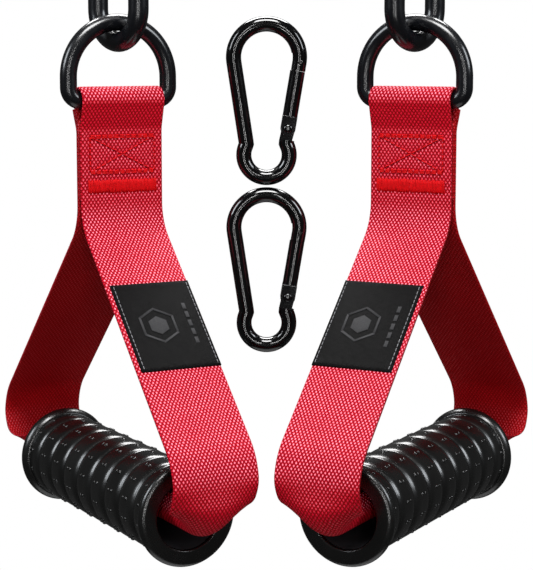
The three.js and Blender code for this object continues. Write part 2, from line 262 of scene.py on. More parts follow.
def lathed(profile, sides=96, closed=True):
    """A solid of revolution about Y. profile is (radius, y); a closed one joins its own end."""
    rings = []
    for j in range(sides):
        angle = 2 * math.pi * j / sides
        rings.append([(r * math.cos(angle), y, r * math.sin(angle)) for r, y in profile])
    count = len(profile)
    faces = []
    for i in range(sides):
        a, b = i * count, ((i + 1) % sides) * count
        for j in range(count if closed else count - 1):
            k = (j + 1) % count
            faces.append((a + j, a + k, b + k, b + j))
    shell = Shell().add([p for ring in rings for p in ring], faces)
    if not closed:
        shell.faces.append([i * count for i in range(sides)])
        shell.faces.append([i * count + count - 1 for i in reversed(range(sides))])
    return shell


def plate(outline, front, thick, bevel=0.15):
    """A flat plate with softened edges. outline is (x, z) points in order round it."""
    points = [Vector(p) for p in outline]
    normals = []
    n = len(points)
    for i in range(n):
        along = (points[(i + 1) % n] - points[i - 1]).normalized()
        normals.append(Vector((along.y, -along.x)))
    area = sum(points[i].cross(points[(i + 1) % n]) for i in range(n))
    inward = -1 if area > 0 else 1
    rings = []
    for inset, y in ((bevel, front), (bevel * 0.3, front + bevel * 0.3), (0, front + bevel),
                     (0, front + thick - bevel), (bevel * 0.3, front + thick - bevel * 0.3),
                     (bevel, front + thick)):
        moved = [p + q * inset * inward for p, q in zip(points, normals)]
        rings.append([(p.x, y, p.y) for p in moved])
    return loft(rings)


def cut(obj, *cutters):
    """Cuts other objects out of obj and removes them."""
    for cutter in cutters:
        modifier = obj.modifiers.new("cut", "BOOLEAN")
        modifier.object = cutter
        modifier.operation = "DIFFERENCE"
        modifier.solver = "EXACT"
    graph = bpy.context.evaluated_depsgraph_get()
    mesh = bpy.data.meshes.new_from_object(obj.evaluated_get(graph), depsgraph=graph)
    obj.modifiers.clear()
    obj.data = mesh
    for cutter in cutters:
        bpy.data.objects.remove(cutter)
    return obj


def soften(obj, width, segments=2, angle=40):
    """Small bevels on sharp edges, with shading that keeps flat faces flat."""
    bevel = obj.modifiers.new("bevel", "BEVEL")
    bevel.width = width * MM
    bevel.segments = segments
    bevel.limit_method = "ANGLE"
    bevel.angle_limit = math.radians(angle)
    normals = obj.modifiers.new("normals", "WEIGHTED_NORMAL")
    normals.keep_sharp = True
    return obj


def crisp(obj, angle=35):
    """Smooth shading, broken only at edges sharper than the angle."""
    obj.data.polygons.foreach_set("use_smooth", [True] * len(obj.data.polygons))
    obj.data.set_sharp_from_angle(angle=math.radians(angle))
    return obj


# ---------------------------------------------------------------- materials


class Nodes:
    """A material's node tree, built from calls that return output sockets."""

    def __init__(self, name, **settings):
        self.material = bpy.data.materials.new(name)
        self.material.use_nodes = True
        self.tree = self.material.node_tree
        self.shader = self.tree.nodes["Principled BSDF"]
        for key, value in settings.items():
            self.shader.inputs[key.replace("_", " ")].default_value = value

    def node(self, kind, inputs=(), **settings):
        node = self.tree.nodes.new(kind)
        for key, value in settings.items():
            setattr(node, key, value)
        for key, value in dict(inputs).items():
            if isinstance(value, bpy.types.NodeSocket):
                self.tree.links.new(value, node.inputs[key])
            else:
                node.inputs[key].default_value = value
        return node

    def math(self, operation, *values, clamp=False):
        inputs = dict(enumerate(values))
        return self.node("ShaderNodeMath", inputs, operation=operation, use_clamp=clamp).outputs[0]

    def noise(self, scale, detail=3.0, where=None, roughness=0.5):
        inputs = {"Scale": scale, "Detail": detail, "Roughness": roughness}
        inputs["Vector"] = where or self.node("ShaderNodeTexCoord").outputs["Object"]
        return self.node("ShaderNodeTexNoise", inputs).outputs["Fac"]

    def ramp(self, value, low, high, out_low=0.0, out_high=1.0):
        inputs = {"Value": value, "From Min": low, "From Max": high,
                  "To Min": out_low, "To Max": out_high}
        return self.node("ShaderNodeMapRange", inputs, interpolation_type="SMOOTHSTEP").outputs[0]

    def mix(self, factor, a, b):
        """Colour a where the factor is 0 and b where it is 1."""
        return self.node("ShaderNodeMix", {0: factor, 6: a, 7: b}, data_type="RGBA").outputs[2]

    def uv(self):
        layer = self.node("ShaderNodeUVMap", uv_map="lay")
        split = self.node("ShaderNodeSeparateXYZ", {0: layer.outputs[0]})
        return layer.outputs[0], split.outputs[0], split.outputs[1]

    def put(self, **sockets):
        for key, socket in sockets.items():
            self.tree.links.new(socket, self.shader.inputs[key.replace("_", " ")])

    def bump(self, height, strength, distance):
        inputs = {"Height": height, "Strength": strength, "Distance": distance}
        self.put(Normal=self.node("ShaderNodeBump", inputs).outputs[0])


def rgb(r, g, b):
    return (r, g, b, 1.0)


WEAVE_ACROSS = 1.68  # mm between crowns in a row
WEAVE_ALONG = 1.22  # mm between rows, each half a crown out from the last
INNER_SIDE = 100 * WEAVE_ACROSS  # added to uv across the side next to the hand, which gets painted shade


def webbing_material():
    """Coarse plain weave: rows of yarn crowns with a painted pink highlight over deep red gaps.

    Painted shade fades the crowns and changes the yarn colour on the side next to the hand, and on faces
    that point down when it hangs at rest.
    """
    n = Nodes("webbing", Roughness=0.5)
    n.shader.inputs["Specular IOR Level"].default_value = 0.12
    where, across, along = n.uv()
    # outer is 1 on the outer side and 0.15 on the side next to the hand, where painted shade dulls the
    # weave
    outer = n.ramp(across, INNER_SIDE / 2, INNER_SIDE / 2 + 1, 1.0, 0.15)
    wobble = n.math("MULTIPLY", n.math("SUBTRACT", n.noise(0.3, 2.0, where), 0.5), 0.7)
    u = n.math("ADD", across, wobble)
    v = n.math("ADD", along, wobble)
    wave_u = n.math("COSINE", n.math("MULTIPLY", u, 2 * math.pi / WEAVE_ACROSS))
    wave_v = n.math("COSINE", n.math("MULTIPLY", v, math.pi / WEAVE_ALONG))
    height = n.math("ABSOLUTE", n.math("MULTIPLY", n.math("ADD", wave_u, wave_v), 0.5))
    crown = n.ramp(height, 0.58, 0.96)
    fibres = n.noise(5.0, 3.0, where)
    # painted shade: the weave's colour follows how far each face points up, as light from above would
    # fall on it
    upward = n.node("ShaderNodeSeparateXYZ", {0: n.node("ShaderNodeTexCoord").outputs["Normal"]})
    painted_light_facing = n.math("MULTIPLY", n.ramp(upward.outputs[2], -0.3, 0.35, 0.0, 1.0), outer)
    # gap colour in a lit copy and a painted-shade copy for faces pointing down
    gaps = n.mix(painted_light_facing, rgb(0.28, 0.0, 0.0), rgb(0.22, 0.0, 0.006))
    # crest colour in a lit copy and a painted-shade copy for the side next to the hand
    crest = n.mix(outer, rgb(0.40, 0.0, 0.002), rgb(0.66, 0.001, 0.022))
    yarn = n.mix(n.ramp(height, 0.1, 0.7), gaps, crest)
    # painted highlight: pale pink crowns stand in for light glancing off the yarn, faded by the painted
    # shade above
    painted_highlight_colour = n.mix(fibres, rgb(0.95, 0.07, 0.14), rgb(1.0, 0.52, 0.62))
    patch = n.ramp(n.noise(0.09, 2.0, where), 0.3, 0.7, 0.8, 1.0)
    painted_highlight = n.math("MULTIPLY", n.math("MULTIPLY", crown, patch), n.math("ADD", painted_light_facing, 0.03))
    n.put(Base_Color=n.mix(painted_highlight, yarn, painted_highlight_colour))
    n.put(Roughness=n.ramp(height, 0.0, 1.0, 0.8, 0.42))
    n.bump(n.math("ADD", height, n.math("MULTIPLY", fibres, 0.3)), 0.8, 0.30 * MM)
    return n.material


def thread_material(name, dark, light):
    """Twisted sewing thread."""
    n = Nodes(name, Roughness=0.55)
    n.shader.inputs["Specular IOR Level"].default_value = 0.15
    _, across, along = n.uv()
    twist = n.math("SINE", n.math("MULTIPLY", n.math("ADD", across, along), 2 * math.pi / 0.5))
    n.put(Base_Color=n.mix(n.noise(900.0, 2.0), dark, light))
    n.bump(n.math("ADD", n.noise(3500.0, 2.0), n.math("MULTIPLY", twist, 0.2)), 0.5, 0.08 * MM)
    return n.material


def label_material(name, dark, light):
    """Damask weave: fine ribs across the label."""
    n = Nodes(name, Roughness=0.62)
    n.shader.inputs["Specular IOR Level"].default_value = 0.03
    where, _, along = n.uv()
    ribs = n.math("SINE", n.math("MULTIPLY", along, 2 * math.pi / 0.42))
    slubs = n.noise(1.2, 4.0, where, 0.7)
    tone = n.ramp(n.math("ADD", n.math("MULTIPLY", ribs, 0.25), slubs), 0.1, 1.1)
    n.put(Base_Color=n.mix(tone, dark, light))
    n.put(Roughness=n.ramp(slubs, 0.2, 0.8, 0.5, 0.72))
    creases = n.math("MULTIPLY", n.noise(0.22, 1.0, where), 8.0)
    texture = n.math("ADD", ribs, n.math("MULTIPLY", slubs, 1.5))
    n.bump(n.math("ADD", texture, creases), 0.6, 0.1 * MM)
    return n.material


def coated_steel(name, roughness, tint, scratches, unevenness):
    """Black coated steel with a faint unevenness and fine scuffs."""
    n = Nodes(name, Metallic=0.0)
    n.shader.inputs["Specular IOR Level"].default_value = 0.5
    n.shader.inputs["Coat Weight"].default_value = 0.3
    n.shader.inputs["Coat Roughness"].default_value = roughness * 0.5
    peel = n.noise(220.0, 2.0)
    scuff = n.ramp(n.noise(1500.0, 4.0, roughness=0.75), 0.64, 0.8)
    worn = n.math("MULTIPLY", scuff, scratches)
    n.put(Base_Color=n.mix(worn, rgb(*tint), rgb(0.05, 0.05, 0.053)))
    n.put(Roughness=n.math("ADD", n.math("MULTIPLY", peel, roughness * 0.5),
                           n.math("ADD", n.math("MULTIPLY", worn, 0.25), roughness * 0.75)))
    n.bump(peel, unevenness, 0.2 * MM)
    return n.material


def rubber_material():
    """Satin moulded rubber with a fine grain."""
    n = Nodes("grip_rubber", Roughness=0.3)
    n.shader.inputs["Specular IOR Level"].default_value = 0.75
    grain = n.noise(2200.0, 3.0)
    blotch = n.noise(60.0, 3.0)
    n.put(Base_Color=n.mix(blotch, rgb(0.0015, 0.0015, 0.0015), rgb(0.006, 0.006, 0.0056)))
    mixed = n.math("ADD", n.math("MULTIPLY", grain, 0.4), blotch)
    n.put(Roughness=n.ramp(mixed, 0.3, 1.0, 0.20, 0.32))
    n.bump(grain, 0.16, 0.08 * MM)
    return n.material


def plain_material(name, colour, roughness, metallic=0.0):
    n = Nodes(name, Metallic=metallic)
    grain = n.noise(1800.0, 3.0)
    darker = rgb(*(c * 0.7 for c in colour))
    n.put(Base_Color=n.mix(grain, darker, rgb(*colour)))
    n.put(Roughness=n.ramp(grain, 0.2, 0.8, roughness * 0.8, roughness * 1.2))
    n.bump(grain, 0.15, 0.05 * MM)
    return n.material


MATERIALS = {
    "ring": coated_steel("black_steel", 0.26, (0.002, 0.0023, 0.0035), 0.2, 0.03),
    "hook": coated_steel("hook_steel", 0.13, (0.0006, 0.0006, 0.0008), 0.05, 0.008),
    "webbing": webbing_material(),
    "thread": thread_material("red_thread", rgb(0.38, 0.0, 0.001), rgb(0.72, 0.001, 0.004)),
    "label": label_material("label_cloth", rgb(0.002, 0.002, 0.002), rgb(0.012, 0.012, 0.012)),
    "motif": label_material("label_motif", rgb(0.03, 0.03, 0.031), rgb(0.06, 0.06, 0.062)),
    "label_thread": thread_material("label_thread", rgb(0.08, 0.08, 0.085), rgb(0.3, 0.3, 0.31)),
    "rubber": rubber_material(),
    "core": plain_material("core_plastic", (0.02, 0.02, 0.022), 0.4),
    "spring": plain_material("spring_steel", (0.55, 0.55, 0.57), 0.3, 1.0),
}


# ---------------------------------------------------------------- steel link and D-ring


def link_shell():
    """An oval link, standing on the ring's bow."""
    line = (arc((0, LINK_LOW + LINK_HALF), LINK_HALF, 180, 360, 40)
            + arc((0, LINK_HIGH - LINK_HALF), LINK_HALF, 0, 180, 40))
    return round_bar(spaced(line, 2.0), LINK["bar"] / 2, 40, closed=True)


def ring_shell():
    """A straight bar below, rounded corners, and a half-round bow above."""
    low = RING["corner"]
    high = RING_TOP - RING["bar"] / 2 - RING_HALF
    inset = RING_HALF - RING["corner"]
    line = (arc((-inset, low), RING["corner"], 180, 270, 14)
            + arc((inset, low), RING["corner"], 270, 360, 14)
            + arc((0, high), RING_HALF, 0, 180, 64))
    return round_bar(spaced(line, 1.5), RING["bar"] / 2, 40, closed=True)


# ---------------------------------------------------------------- webbing strap


def outer_face(depth):
    """Distance from the middle to the outer face of the near leg."""
    return NEAR["out"] - NEAR["slope"] * (LEG["from"] - depth)


def leg_corners(leg, mouth):
    """One leg's line below the sewn zone, as (distance from the middle, height, radius)."""
    slope = leg["slope"]
    middle = leg["out"] - WEB["thick"] / 2 * math.hypot(1, slope)
    reach = leg["reach"] - WEB["thick"] / 2
    return [(LAYER, (middle - LAYER) / slope - LEG["from"], LEG["spread"]),
            (reach, (middle - reach) / slope - LEG["from"], LEG["crest"]),
            (reach, -CHANNEL_DEPTH, LEG["fold"]), (mouth, -CHANNEL_DEPTH, 0)]


def strap_line():
    """The strap's middle line, from the sewn zone over the bar, round the handle and back."""
    rise = math.radians(20)
    mouth = GRIP["length"] / 2 + 1
    tangent = (WEB["loop"] * math.cos(rise), -WEB["loop"] * math.sin(rise))
    near = [(-y, z, r) for y, z, r in leg_corners(NEAR, mouth - GRIP["shift"])]
    far = list(reversed(leg_corners(FAR, mouth + GRIP["shift"])))
    below = rounded([(0, -WEB["sewn_end"], 0), (0, -12, 10), (*tangent, 0)])
    loop = arc((0, 0), WEB["loop"], -20, 200, 60)
    rest = rounded([(-tangent[0], tangent[1], 0), (-LAYER, -12, 10), *near, *far,
                    (LAYER, -12.45, 8), (LAYER + 3.9, -4, 0)])
    return spaced(below[:-1] + loop + rest[1:], 0.9)


def smoothstep(x):
    x = min(max(x, 0.0), 1.0)
    return x * x * (3 - 2 * x)


def curl(point):
    """How far the webbing is curled, from 0 on the legs to 1 in the grip."""
    fold_start = LEG["fold"] * 1.6
    if point.y > -CHANNEL_DEPTH + fold_start:
        return 0.0
    mouth = GRIP["length"] / 2 + 1
    reach = (NEAR["reach"] + FAR["reach"]) / 2
    outside = max(0.0, abs(point.x - GRIP["shift"]) - mouth) / (reach - mouth)
    up = (point.y + CHANNEL_DEPTH) / fold_start
    return 1 - smoothstep((0.45 * outside + 0.5 * up) / 0.95)


def near_line(x, z, ax, az, bx, bz):
    """Distance from a point to a stretch of line, in one plane."""
    dx, dz = bx - ax, bz - az
    t = min(max(((x - ax) * dx + (z - az) * dz) / (dx * dx + dz * dz), 0), 1)
    return math.hypot(x - ax - t * dx, z - az - t * dz)


def stitch_lines():
    """The box and its two diagonals, as pairs of (x, z) ends."""
    half = STITCH["width"] / 2 - 0.6
    top, bottom = -STITCH["top"] - 0.6, -STITCH["bottom"] + 0.6
    return [((-half, top), (half, top)), ((-half, bottom), (half, bottom)),
            ((-half, top), (-half, bottom)), ((half, top), (half, bottom)),
            ((-half, top), (half, bottom)), ((-half, bottom), (half, top))]


def dent(x, z):
    """How far stitching pulls the outer faces of the sewn zone in, in mm."""
    if not -WEB["sewn_end"] - 2 < z < -10:
        return 0.0
    pull = max(0.24 * math.exp(-(near_line(x, z, *a, *b) / 0.9) ** 2) for a, b in stitch_lines())
    middle = -(TACK["top"] + TACK["bottom"]) / 2
    if abs(x) < TACK["width"] / 2 + 1:
        pull = max(pull, 0.25 * math.exp(-((z - middle) / 3.4) ** 4))
    return pull


STRAP_COLUMNS = 40
EDGE_POINTS = 3


def section_points():
    """(share across the width, side of the thickness) round the webbing's section."""
    edge = WEB["thick"] / 2 / WEB["width"]
    top = [(-0.5 + edge + (1 - 2 * edge) * j / STRAP_COLUMNS, 1.0) for j in range(STRAP_COLUMNS + 1)]
    turn = [(0.5 - edge + edge * math.sin(a), math.cos(a))
            for a in (math.pi * (k + 1) / (EDGE_POINTS + 1) for k in range(EDGE_POINTS))]
    bottom = [(-x, -y) for x, y in top]
    back = [(-x, -y) for x, y in turn]
    return top + turn + bottom + back


def strap_shell():
    """The strap, and its length along the middle line."""
    line = strap_line()
    section = section_points()
    rings, uvs = [], []
    travelled = 0.0
    for i, (point, along) in enumerate(zip(line, tangents(line))):
        if i:
            travelled += (point - line[i - 1]).length
        bend = max(curl(point), 1e-3) / CHANNEL["radius"]
        normal = Vector((-along.y, along.x))
        ring = []
        for share, side in section:
            across = share * WEB["width"]
            angle = bend * across
            thick = WEB["thick"] / 2
            if side < 0 and abs(point.x) > 1:
                thick -= dent(across, point.y)
            inner = 1 / bend - side * thick
            lift = 1 / bend - inner * math.cos(angle)
            spot = point + normal * lift
            ring.append((inner * math.sin(angle), spot.x, spot.y))
            # the side next to the hand is marked here for the webbing's painted shade
            uvs.append((across + side * 0.4 + (INNER_SIDE if side > 0 else 0), travelled))
        rings.append(ring)
    return loft(rings, uvs=uvs), travelled


# ---------------------------------------------------------------- stitching and label


def outer_layer_face():
    return LAYER + WEB["thick"] / 2


def stitches(a, b, out, length=2.7, radius=0.3, rise=0.3, face=0.0):
    """A row of short stitches from a to b. out is -1 on the front and 1 on the rear."""
    shell = Shell()
    a, b = Vector(a), Vector(b)
    count = max(1, round((b - a).length / length))
    for i in range(count):
        start = a.lerp(b, (i + 0.06) / count)
        end = a.lerp(b, (i + 0.94) / count)
        points = []
        for k in range(6):
            t = k / 5
            spot = start.lerp(end, t)
            height = face - 0.18 + rise * math.sin(math.pi * t) ** 0.6
            points.append((spot.x, out * height, spot.y))
        shell.join(thread(points, radius))
    return shell


def box_stitch_shell(out):
    """The box, sewn three times at its top and bottom, and its diagonals."""
    shell = Shell()
    face = outer_layer_face() + 0.02
    for i, (a, b) in enumerate(stitch_lines()):
        flat = i < 2
        for shift in ((-0.6, -0.1, 0.45) if flat else (0.0,)):
            shifted = [Vector(p) + Vector((0, shift)) for p in (a, b)]
            shell.join(stitches(*shifted, out, radius=0.31 if flat else 0.27, face=face))
    return shell


def bar_tack_shell(out):
    """Dense zigzag stitching: many slanted threads side by side."""
    draw = random.Random(7)
    shell = Shell()
    face = outer_layer_face()
    count = 64
    half = TACK["width"] / 2 - 0.4
    for i in range(count):
        x = -half + 2 * half * i / (count - 1) + draw.uniform(-0.06, 0.06)
        top = -TACK["top"] - draw.uniform(0.0, 0.7)
        bottom = -TACK["bottom"] + draw.uniform(0.0, 0.7)
        slant = draw.uniform(0.15, 0.55)
        swell = draw.uniform(0.30, 0.44)
        points = []
        for k in range(8):
            t = k / 7
            height = face - 0.25 + swell * math.sin(math.pi * t) ** 0.5
            points.append((x + slant * (t - 0.5), out * height, top + (bottom - top) * t))
        shell.join(thread(points, draw.uniform(0.25, 0.31)))
    return shell


def label_shell():
    """A folded woven label: thicker at its turned-in ends, with soft edges."""
    columns, rows = 30, 40
    w, h = LABEL["width"] / 2, LABEL["length"] / 2
    shell = Shell()
    points, uvs = [], []
    for back in (False, True):
        for i in range(rows + 1):
            for j in range(columns + 1):
                x = -w + 2 * w * j / columns
                z = -h + 2 * h * i / rows
                rim = min(1.0, (min(w - abs(x), h - abs(z)) + 0.05) / 0.5)
                fold = 0.14 * smoothstep((abs(z) - (h - 3.4)) / 0.5)
                swell = 0.05 * math.sin(0.9 * x + 0.5 * z) * math.cos(0.31 * z)
                front = -GAP * 0.6 - (LABEL["thick"] - 0.15 + fold + swell) * rim ** 0.5
                points.append((x, 0.05 if back else front, z))
                uvs.append((x, z))
    size = (rows + 1) * (columns + 1)
    width = columns + 1
    for i in range(rows):
        for j in range(columns):
            a = i * width + j
            shell.faces.append([a, a + 1, a + width + 1, a + width])
            shell.faces.append([size + a, size + a + width, size + a + width + 1, size + a + 1])
    rim_line = ([j for j in range(columns)] + [i * width + columns for i in range(rows)]
                + [rows * width + columns - j for j in range(columns)]
                + [(rows - i) * width for i in range(rows)])
    for k, a in enumerate(rim_line):
        b = rim_line[(k + 1) % len(rim_line)]
        shell.faces.append([a, size + a, size + b, b])
    shell.points = [Vector(p) for p in points]
    shell.uvs = uvs
    return shell


def label_front():
    """Just in front of the label's face between its turned-in ends."""
    return -GAP * 0.6 - LABEL["thick"] + 0.08


def hexagon(radius):
    """Corners of the motif's hexagon, left of the label's middle."""
    return [(-3.0 + radius * math.cos(math.radians(60 * k + 30)),
             radius * math.sin(math.radians(60 * k + 30))) for k in range(6)]


def motif_shell():
    """A plain hexagon outline round a filled one, with a row of small bars beside it."""
    outside, inside = hexagon(9.0), hexagon(7.9)
    outlines = []
    for k in range(6):
        following = (k + 1) % 6
        outlines.append([outside[k], outside[following], inside[following], inside[k]])
    outlines.append(hexagon(4.6))
    for k in range(5):
        z = (k - 2) * 4.4
        outlines.append([(10.6, z - 1.5), (12.2, z - 1.5), (12.2, z + 1.5), (10.6, z + 1.5)])
    shell = Shell()
    for outline in outlines:
        shell.join(plate(outline, label_front() - 0.06, 0.14, 0.03))
    shell.uvs = [(p.x, p.z) for p in shell.points]
    return shell


def label_stitch_shell():
    """A row of stitches down each side of the label."""
    shell = Shell()
    face = -label_front() + 0.02
    w, h = LABEL["width"] / 2 - 1.3, LABEL["length"] / 2 - 0.8
    for x in (-w, w):
        shell.join(stitches((x, -h), (x, h), -1, length=2.2, radius=0.17, rise=0.22, face=face))
    return shell


# ---------------------------------------------------------------- grip


def sleeve_profile():
    """(radius, y) round the sleeve's wall, from the near lip along the ribs and back inside."""
    end = GRIP["length"] / 2
    flange = GRIP["flange"]
    half = RIBS["pitch"] / 2
    profile = [(CORE["inner"], -end + 1.0)]
    profile += [tuple(p) for p in arc((CORE["inner"] + 1.0, -end + 1.0), 1.0, 180, 270, 6)]
    profile += [tuple(p) for p in arc((flange - 2.6, -end + 2.6), 2.6, -90, 0, 12)]
    profile += [(flange - 0.5, -end + 4.2), (flange - 1.7, -end + 5.4), (flange - 3.0, -end + 6.2)]
    for i in range(RIBS["count"]):
        middle = (i - (RIBS["count"] - 1) / 2) * RIBS["pitch"]
        for k in range(-10, 11):
            t = k / 10
            if i == 0 and t < -0.95 or i == RIBS["count"] - 1 and t > 0.95:
                continue
            if t == -1 and i:
                continue
            shape = (1 - abs(t) ** 4.5) ** 0.8 if abs(t) < 1 else 0.0
            radius = GRIP["groove"] + (GRIP["crest"] - GRIP["groove"]) * shape
            profile.append((radius, middle + t * half * 0.985))
    profile += [(flange - 3.0, end - 6.2), (flange - 1.7, end - 5.4), (flange - 0.5, end - 4.2)]
    profile += [tuple(p) for p in arc((flange - 2.6, end - 2.6), 2.6, 0, 90, 12)]
    profile += [tuple(p) for p in arc((CORE["inner"] + 1.0, end - 1.0), 1.0, 90, 180, 6)]
    bore = CORE["outer"] + GAP
    profile += [(CORE["inner"], end - CORE["lip"]), (bore, end - CORE["lip"]),
                (bore, -end + CORE["lip"]), (CORE["inner"], -end + CORE["lip"])]
    return profile


def sleeve_shell():
    return lathed(sleeve_profile(), 128)


NUB_ROWS = 14


def nubs_shell():
    """Small domed nubs in rows along the grip, a pair on each rib."""
    shell = Shell()
    for i in range(RIBS["count"]):
        middle = (i - (RIBS["count"] - 1) / 2) * RIBS["pitch"]
        for row in range(NUB_ROWS):
            around = 2 * math.pi * (row + 0.42) / NUB_ROWS
            for along, size in ((-0.9, 0.95), (2.1, 0.7)):
                shell.join(nub(middle + along, around, size))
    return shell


def nub(y, around, size):
    """One dome, at y along the grip and an angle around it."""
    sides, rings = 8, 4
    out = Vector((math.cos(around), 0, math.sin(around)))
    side = Vector((-math.sin(around), 0, math.cos(around)))
    base = out * (GRIP["crest"] - 0.12) + Vector((0, y, 0))
    loops = []
    for k in range(rings):
        tilt = math.pi / 2 * k / rings
        spread = size * math.cos(tilt)
        lift = size * 0.7 * math.sin(tilt)
        loops.append([base + out * lift + spread * (
            side * math.cos(2 * math.pi * j / sides)
            + Vector((0, 1, 0)) * math.sin(2 * math.pi * j / sides)) for j in range(sides)])
    return loft(loops)


def core_shell():
    """The plain tube inside the sleeve."""
    end = GRIP["length"] / 2 - CORE["lip"] - GAP
    inner, outer = CORE["inner"], CORE["outer"]
    profile = [(inner, -end + 0.3), (inner + 0.3, -end), (outer - 0.3, -end), (outer, -end + 0.3),
               (outer, end - 0.3), (outer - 0.3, end), (inner + 0.3, end), (inner, end - 0.3)]
    return lathed(profile, 96)


# ---------------------------------------------------------------- one handle


def joint(name):
    return next(j for j in frame["joints"] if j["name"] == name)


def handle_place(side):
    """Takes a handle's own mm, with X along the D-ring's bar, to the row frame's metres."""
    hinge = joint(f"{side}_strap_swing")
    across = Vector(hinge["axis"])
    if across.x < 0:
        across = -across
    up = Vector((0, 0, 1))
    turn = Matrix((across, up.cross(across), up)).transposed().to_4x4()
    return Matrix.Translation(Vector(hinge["pos_m"])) @ turn @ Matrix.Scale(MM, 4)


def label_place(mirror):
    """Takes the label's own mm to the near leg's outer face."""
    tilt = math.atan(NEAR["slope"])
    spot = Vector((mirror * LABEL["shift"], -outer_face(LABEL["depth"]), -LABEL["depth"]))
    return Matrix.Translation(spot) @ Matrix.Rotation(-tilt, 4, "X")


def make_steel(side, mirror, place):
    turn = Matrix.Rotation(-mirror * (LINK["turn"] + HANDLE_TURN), 4, "Z")
    link = make_object(f"{side}_link_fine", link_shell(), place @ turn, MATERIALS["ring"])
    placed(link, "hanging_links", f"{side}_hanging_link")
    ring = make_object(f"{side}_ring_fine", ring_shell(), place, MATERIALS["ring"])
    placed(ring, f"{side}_ring", f"{side}_d_ring")


def make_strap(side, place):
    """The strap with its sewing. Returns its length in mm."""
    webbing = f"{side}_webbing"
    shell, length = strap_shell()
    strap = make_object(f"{side}_strap_woven", shell, place, MATERIALS["webbing"])
    placed(strap, webbing, f"{side}_strap")

    for where, out in (("front", -1), ("rear", 1)):
        box = make_object(f"{side}_box_thread_{where}", box_stitch_shell(out), place, MATERIALS["thread"])
        placed(box, webbing, f"{side}_box_stitch_{where}")
        tack = make_object(f"{side}_tack_thread_{where}", bar_tack_shell(out), place, MATERIALS["thread"])
        placed(tack, webbing, f"{side}_bar_tack_{where}")
    return length


def make_label(side, on_leg):
    webbing = f"{side}_webbing"
    label = make_object(f"{side}_label_cloth", label_shell(), on_leg, MATERIALS["label"])
    placed(label, webbing, f"{side}_label")
    motif = make_object(f"{side}_label_motif", motif_shell(), on_leg, MATERIALS["motif"])
    placed(motif, webbing, None)
    seam = make_object(f"{side}_label_thread", label_stitch_shell(), on_leg, MATERIALS["label_thread"])
    placed(seam, webbing, f"{side}_label_stitch")


def make_grip(side, at_grip):
    grip = f"{side}_grip"
    sleeve = make_object(f"{side}_sleeve_fine", sleeve_shell(), at_grip, MATERIALS["rubber"])
    placed(sleeve, grip, f"{side}_grip_sleeve")
    nubs = make_object(f"{side}_grip_nubs", nubs_shell(), at_grip, MATERIALS["rubber"])
    placed(nubs, grip, None)
    core = make_object(f"{side}_core_fine", core_shell(), at_grip, MATERIALS["core"])
    placed(core, grip, f"{side}_grip_core")


def make_handle(side, mirror):
    """mirror is 1 on the left and -1 on the right. Returns the strap's length in mm."""
    place = handle_place(side)
    make_steel(side, mirror, place)
    length = make_strap(side, place)
    make_label(side, place @ label_place(mirror))
    make_grip(side, place @ Matrix.Translation((0, GRIP["shift"], -GRIP["drop"])))
    return length


# ---------------------------------------------------------------- snap hooks


def hook_line():
    """The frame's bar, from the nose round the big end and the neck to the end of the eye."""
    lean = math.degrees(HOOK_LEAN)
    big = arc((0, HOOK["big_up"]), HOOK["big"], -lean, 180 + lean, 72)
    eye = arc((0, -HOOK["eye_down"]), HOOK["eye"], 152, 390, 72)
    down = Vector((-math.sin(HOOK_LEAN), -math.cos(HOOK_LEAN)))
    nose = big[0] + down * HOOK["nose"]
    stub = eye[-1] + Vector((0.25, 1.5))
    return spaced([nose, *big, *eye, stub], 1.2)


def gate_place():
    """Takes the gate's own mm, with Z along it from the pivot, to the hook's mm."""
    pivot = Vector((GATE["pivot"][0], 0, GATE["pivot"][1]))
    return Matrix.Translation(pivot) @ Matrix.Rotation(HOOK_LEAN, 4, "Y")


def upright(shell):
    """Turns a solid of revolution about Y to stand along Z."""
    return shell.moved(Matrix.Rotation(math.pi / 2, 4, "X"))


def rod(radius, low, high, bevel=0.0):
    """A solid cylinder along Y."""
    if bevel:
        profile = [(radius - bevel, low), (radius, low + bevel),
                   (radius, high - bevel), (radius - bevel, high)]
    else:
        profile = [(radius, low), (radius, high)]
    return lathed(profile, 40, closed=False)


def pin_rod(radius, half, bevel=0.0):
    """A rod where the latch pin goes."""
    return rod(radius, -half, half, bevel).moved(Matrix.Translation((LATCH["across"], 0, LATCH["up"])))


def tang_outline():
    """The tongue between the fork's cheeks, with the cam that pushes the plunger in."""
    points = []
    for k in range(41):
        angle = math.radians(-10 + 200 * k / 40)
        past = min(max(angle - math.pi / 2, 0), 0.45)
        radius = 3.1 + 1.6 * past - max(angle - math.pi / 2 - 0.45, 0) * 0.9
        points.append((radius * math.cos(angle), radius * math.sin(angle)))
    return points + [(-2.9, -5.4), (2.5, -5.8)]


def cheek_outline():
    r, top = GATE["radius"], GATE["cheek_top"]
    return [(r, top), (-r, top)] + [tuple(p) for p in arc((0, 0), r, 180, 360, 24)]


def box_shell(size, centre):
    half = [s / 2 for s in size]
    corners = [(centre[0] + sx * half[0], centre[1] + sy * half[1], centre[2] + sz * half[2])
               for sx in (-1, 1) for sy in (-1, 1) for sz in (-1, 1)]
    faces = [(0, 1, 3, 2), (4, 6, 7, 5), (0, 4, 5, 1), (2, 3, 7, 6), (0, 2, 6, 4), (1, 5, 7, 3)]
    return Shell().add(corners, faces)


def cutter(name, shell, place):
    return make_object(name, shell, place, MATERIALS["hook"])


def rivet_hole(at_gate):
    return cutter("hole", rod(GATE["rivet"] + 0.15, -9, 9), at_gate)


